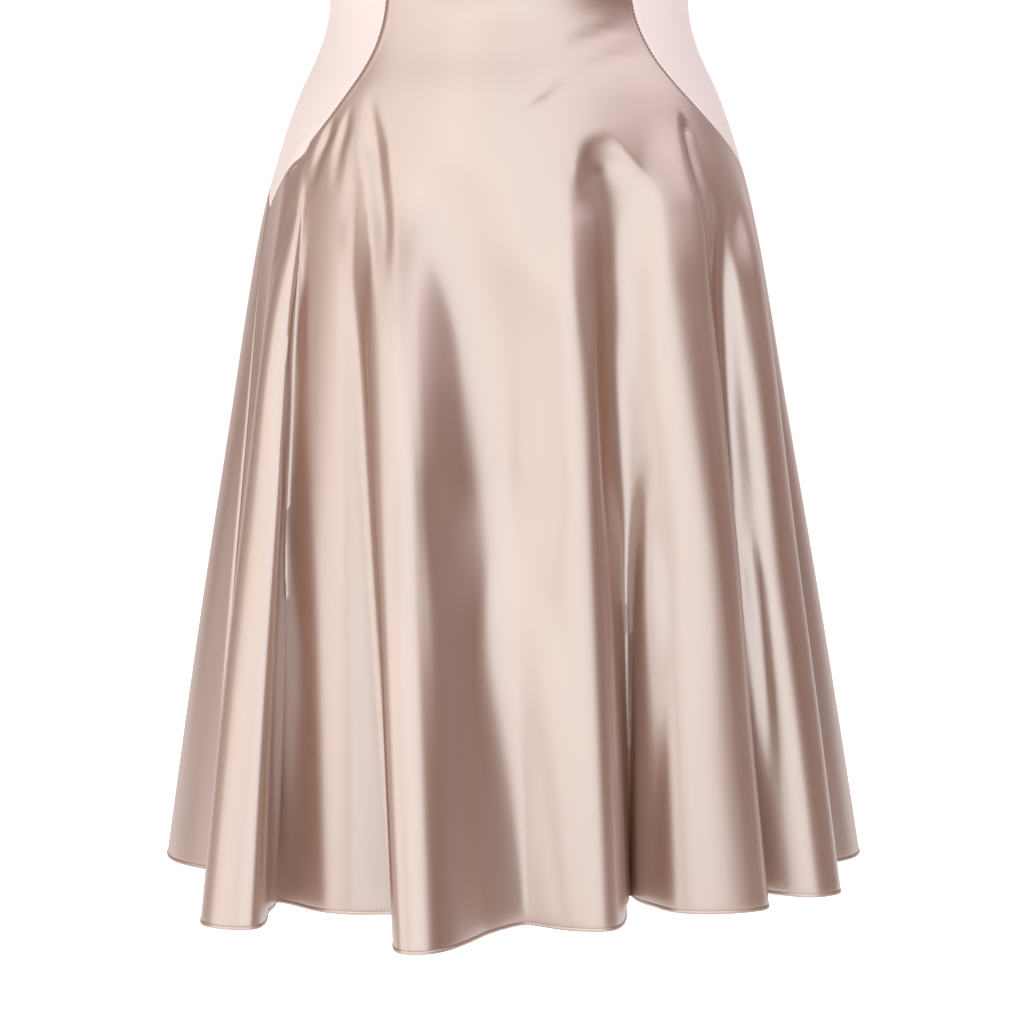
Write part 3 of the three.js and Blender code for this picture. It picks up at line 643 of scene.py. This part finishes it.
# Machine stitches. One stitched row holds the turned hem all round, a little above its
# edge, and a fine row lies in each curved seam between the satin and the crepe, its dark thread
# also painted shade for the seam ditch.
def sew_row(name, degrees, down, pitch, length, width, lift, colour_name, colour):
    """A row of stitches along a line on the cloth, one stitch modelled and copied."""
    line = cloth_point(degrees, down)
    normal = cloth_normal(degrees, down)
    push = crease_push(line, CREASES)[:, None]
    line = line + normal * (push + lift)
    run = np.concatenate([[0], np.cumsum(np.linalg.norm(np.diff(line, axis=0), axis=1))])
    at = np.arange(pitch / 2, run[-1], pitch)
    spots = np.stack([np.interp(at, run, line[:, k]) for k in range(3)], 1)
    ups = np.stack([np.interp(at, run, normal[:, k]) for k in range(3)], 1)
    ahead = np.stack([np.interp(at + 0.4, run, line[:, k]) for k in range(3)], 1) - np.stack(
        [np.interp(at - 0.4, run, line[:, k]) for k in range(3)], 1)
    ahead /= np.linalg.norm(ahead, axis=1, keepdims=True)
    aside = np.cross(ups, ahead)
    select_none()
    bpy.ops.mesh.primitive_uv_sphere_add(segments=6, ring_count=4, radius=0.5)
    row = bpy.context.object
    row.name = name
    count = len(row.data.vertices)
    shape = np.empty(count * 3)
    row.data.vertices.foreach_get("co", shape)
    shape = shape.reshape(-1, 3)
    faces = [list(face.vertices) for face in row.data.polygons]
    placed = (spots[:, None] + aside[:, None] * shape[None, :, :1] * width
              + ups[:, None] * shape[None, :, 1:2] * width * 0.8
              + ahead[:, None] * shape[None, :, 2:] * length) * MM
    row.data.clear_geometry()
    row.data.from_pydata(
        placed.reshape(-1, 3).tolist(), [],
        [[v + k * count for v in face] for k in range(len(at)) for face in faces])
    row.data.update()
    bpy.ops.object.mode_set(mode="EDIT")
    bpy.ops.mesh.select_all(action="SELECT")
    bpy.ops.mesh.normals_make_consistent(inside=False)
    bpy.ops.object.mode_set(mode="OBJECT")
    bpy.ops.object.shade_smooth()
    #     Polyester sewing thread: a soft gloss along each stitch, darker than the cloth; in the
    #         curved seams that darkness is partly painted shade of the ditch
    thread = new_material(colour_name)
    fibre = add_node(thread, "ShaderNodeTexCoord")
    twist = add_node(
        thread, "ShaderNodeTexNoise", [("Vector", fibre.outputs["Object"])], Scale=900.0)
    paler = [c * 1.25 for c in linear(colour)[:3]] + [1]
    tone = add_tone(thread, twist.outputs[0], linear(colour), paler)
    shader = add_node(
        thread, "ShaderNodeBsdfPrincipled", [("Base Color", tone)], Roughness=0.5)
    row.data.materials.append(finish_material(thread, shader))
    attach(row, "dress")


STITCH_PITCH = 2.6
round_hem = np.linspace(-180, 180, 1441)
sew_row(
    "hem_stitches", round_hem, np.full(1441, HEM_DOWN - HEM_STITCHED), STITCH_PITCH, 2.2, 0.5,
    0.02, "hem thread", "#8d6b5e")
# The seam rows' dark brown thread is partly painted shade: besides the stitches, it stands in
# for the shadow in the seam ditch.
seam_down = np.linspace(SEAM_TOP + 2, HIP_DOWN - 4, 300)
for name, side, is_back in (
    ("front_seam_left", 1, False), ("front_seam_right", -1, False),
    ("back_seam_left", 1, True), ("back_seam_right", -1, True),
):
    edge = read_table(PANEL_EDGE, 1, seam_down)
    at = side * (180 - edge if is_back else edge)
    sew_row(
        name + "_stitches", at, seam_down, STITCH_PITCH, 1.9, 0.55, -0.35, name + " thread",
        "#5f463c")


# Zip. A concealed zip: two tapes behind the closed centre back edges, with a fine coil
# between them, a slider at the top and a narrow metal pull that hangs down outside.
def make_tape():
    # Knitted zip tape: dull, close in colour to the satin, with a fine ribbed knit
    tape_cloth = new_material("zip tape")
    knit = add_weave(tape_cloth, 1400, 900)
    tone = add_tone(tape_cloth, knit, linear("#c7aa9b"), linear("#d4b9ab"))
    shader = add_node(
        tape_cloth, "ShaderNodeBsdfPrincipled", [("Base Color", tone)], Roughness=0.8)
    return finish_material(tape_cloth, shader)


def make_metal():
    # Painted zinc, blush to match the satin, glossy, with faint wear
    metal = new_material("blush enamelled zinc")
    place = add_node(metal, "ShaderNodeTexCoord")
    wear = add_node(
        metal, "ShaderNodeTexNoise", [("Vector", place.outputs["Object"])], Scale=350.0)
    gloss = add_range(metal, wear.outputs[0], 0.25, 0.4)
    shader = add_node(
        metal, "ShaderNodeBsdfPrincipled", [("Roughness", gloss)],
        Base_Color=linear("#d2b4a4"), Metallic=0.85)
    return finish_material(metal, shader)


ZIP_TOP = 84.0
TAPE_HALF = 11
TAPE_BEHIND = -2.4
TAPE_THICK = 0.6
COIL_ASIDE = 0.9
zip_down = np.concatenate([np.arange(ZIP_TOP, HIP_DOWN - 2, 6), [HIP_DOWN - 1]])[:, None]
zip_across = np.linspace(-TAPE_HALF, TAPE_HALF, 13)[None, :]
zip_degrees = 180 + zip_across / mm_per_degree(np.full(zip_down.shape, 180.0), zip_down)
tape = lay_cloth(
    "zip_tape", zip_degrees, zip_down + 0 * zip_degrees, np.ones(zip_degrees.shape, bool),
    np.full(zip_degrees.shape, TAPE_BEHIND), TAPE_THICK, [make_tape()])
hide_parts("zip")
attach(tape, "dress")
coil_down = np.linspace(ZIP_TOP + 2, HIP_DOWN - 3, 200)
for name, aside in (("zip_coil_left", -COIL_ASIDE), ("zip_coil_right", COIL_ASIDE)):
    turned = 180 + aside / mm_per_degree(np.full(200, 180.0), coil_down)
    sew_row(
        name, turned, coil_down, 1.3, 0.8, 2.1, -3.4, name.replace("_", " "), "#cbb0a1")
blush_metal = make_metal()
for name in ("zip_slider", "zip_pull"):
    metal_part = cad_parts[name]
    metal_part.data.materials.clear()
    metal_part.data.materials.append(blush_metal)


# Room: a pale board under the dress, glowing with painted light that is brighter towards the
# back, and a white wall of light behind it, a large softbox in front and one to the left,
# weaker ones at both sides and high on the right, and a darker room behind the camera.
bpy.ops.mesh.primitive_plane_add(size=14, location=(0, 0, -1.5))
floor = bpy.context.object
floor.name = "studio_floor"
# Painted board: pale, and glowing as painted light, stronger towards the back, in place of the
# light the wall throws on it
floor_paint = new_material("floor with painted glow")
place = add_node(floor_paint, "ShaderNodeTexCoord")
parts = add_node(floor_paint, "ShaderNodeSeparateXYZ", [("Vector", place.outputs["Object"])])
# painted light: the floor's emission rises from front to back
painted_floor_light = add_range(floor_paint, parts.outputs["Y"], 0.08, 0.8, -0.3, 0.9)
floor_shader = add_node(
    floor_paint, "ShaderNodeBsdfPrincipled", [("Emission Strength", painted_floor_light)],
    Base_Color=linear("#f7f6f5"), Roughness=0.9, Emission_Color=(1, 1, 1, 1))
floor.data.materials.append(finish_material(floor_paint, floor_shader))


def add_softbox(name, place, aim, width, height, power, colour):
    """A rectangular lamp, in metres, turned to face what it lights."""
    lamp = bpy.data.lights.new(name, "AREA")
    lamp.shape = "RECTANGLE"
    lamp.size, lamp.size_y = width, height
    lamp.energy = power
    lamp.color = linear(colour)[:3]
    box = bpy.data.objects.new(name, lamp)
    bpy.context.scene.collection.objects.link(box)
    box.location = place
    direction = np.array(aim) - np.array(place)
    box.rotation_mode = "QUATERNION"
    box.rotation_quaternion = Vector(direction).to_track_quat("-Z", "Y")


add_softbox("front_softbox", (0.2, -2.6, 0.0), (0, 0, -0.72), 2.6, 2.8, 40, "#fffaf6")
add_softbox("left_softbox", (-1.85, -1.75, -0.05), (0, 0, -0.72), 2.2, 2.8, 34, "#fff5ec")
add_softbox("left_side_softbox", (-2.5, -0.2, -0.1), (0, 0, -0.6), 1.5, 2.2, 6, "#fff1e6")
add_softbox("right_side_softbox", (2.5, -0.1, 0.0), (0, 0, -0.6), 2.2, 2.0, 2.8, "#ffeaf0")
add_softbox("right_high_softbox", (1.6, -0.75, 1.0), (0, 0, -0.5), 2.5, 1.6, 19, "#fff0f2")

world = bpy.data.worlds.new("studio")
world.use_nodes = True
bpy.context.scene.world = world
world.node_tree.nodes.clear()
facing = add_node(world, "ShaderNodeTexCoord")
parts = add_node(world, "ShaderNodeSeparateXYZ", [("Vector", facing.outputs["Generated"])])
behind = add_range(world, parts.outputs["Y"], 0.05, 1.15, 0.2, 0.88)
ceiling = add_range(world, parts.outputs["Z"], 0, 0.3, 0.25, 0.7)
both = add_node(world, "ShaderNodeMath", [(0, behind), (1, ceiling)])
glow = add_node(world, "ShaderNodeBackground", [("Strength", both.outputs[0])])
glow.inputs["Color"].default_value = linear("#fff7f6")
sky = add_node(world, "ShaderNodeOutputWorld")
world.node_tree.links.new(glow.outputs[0], sky.inputs["Surface"])


# Camera: a long lens in front of the dress, just below the height of the waist and turned a
# little down, so that the skirt fills the frame and its top edge cuts off the bodice.
lens = bpy.data.cameras.new("camera")
lens.sensor_width = 36
lens.lens = 91.05
camera = bpy.data.objects.new("camera", lens)
bpy.context.scene.collection.objects.link(camera)
camera.location = (0.002, -1.850, -0.520)
camera.rotation_euler = (math.radians(90 - 7.7), 0, 0)
bpy.context.scene.camera = camera
bpy.context.scene.view_settings.view_transform = "Standard"

bpy.context.view_layer.update()
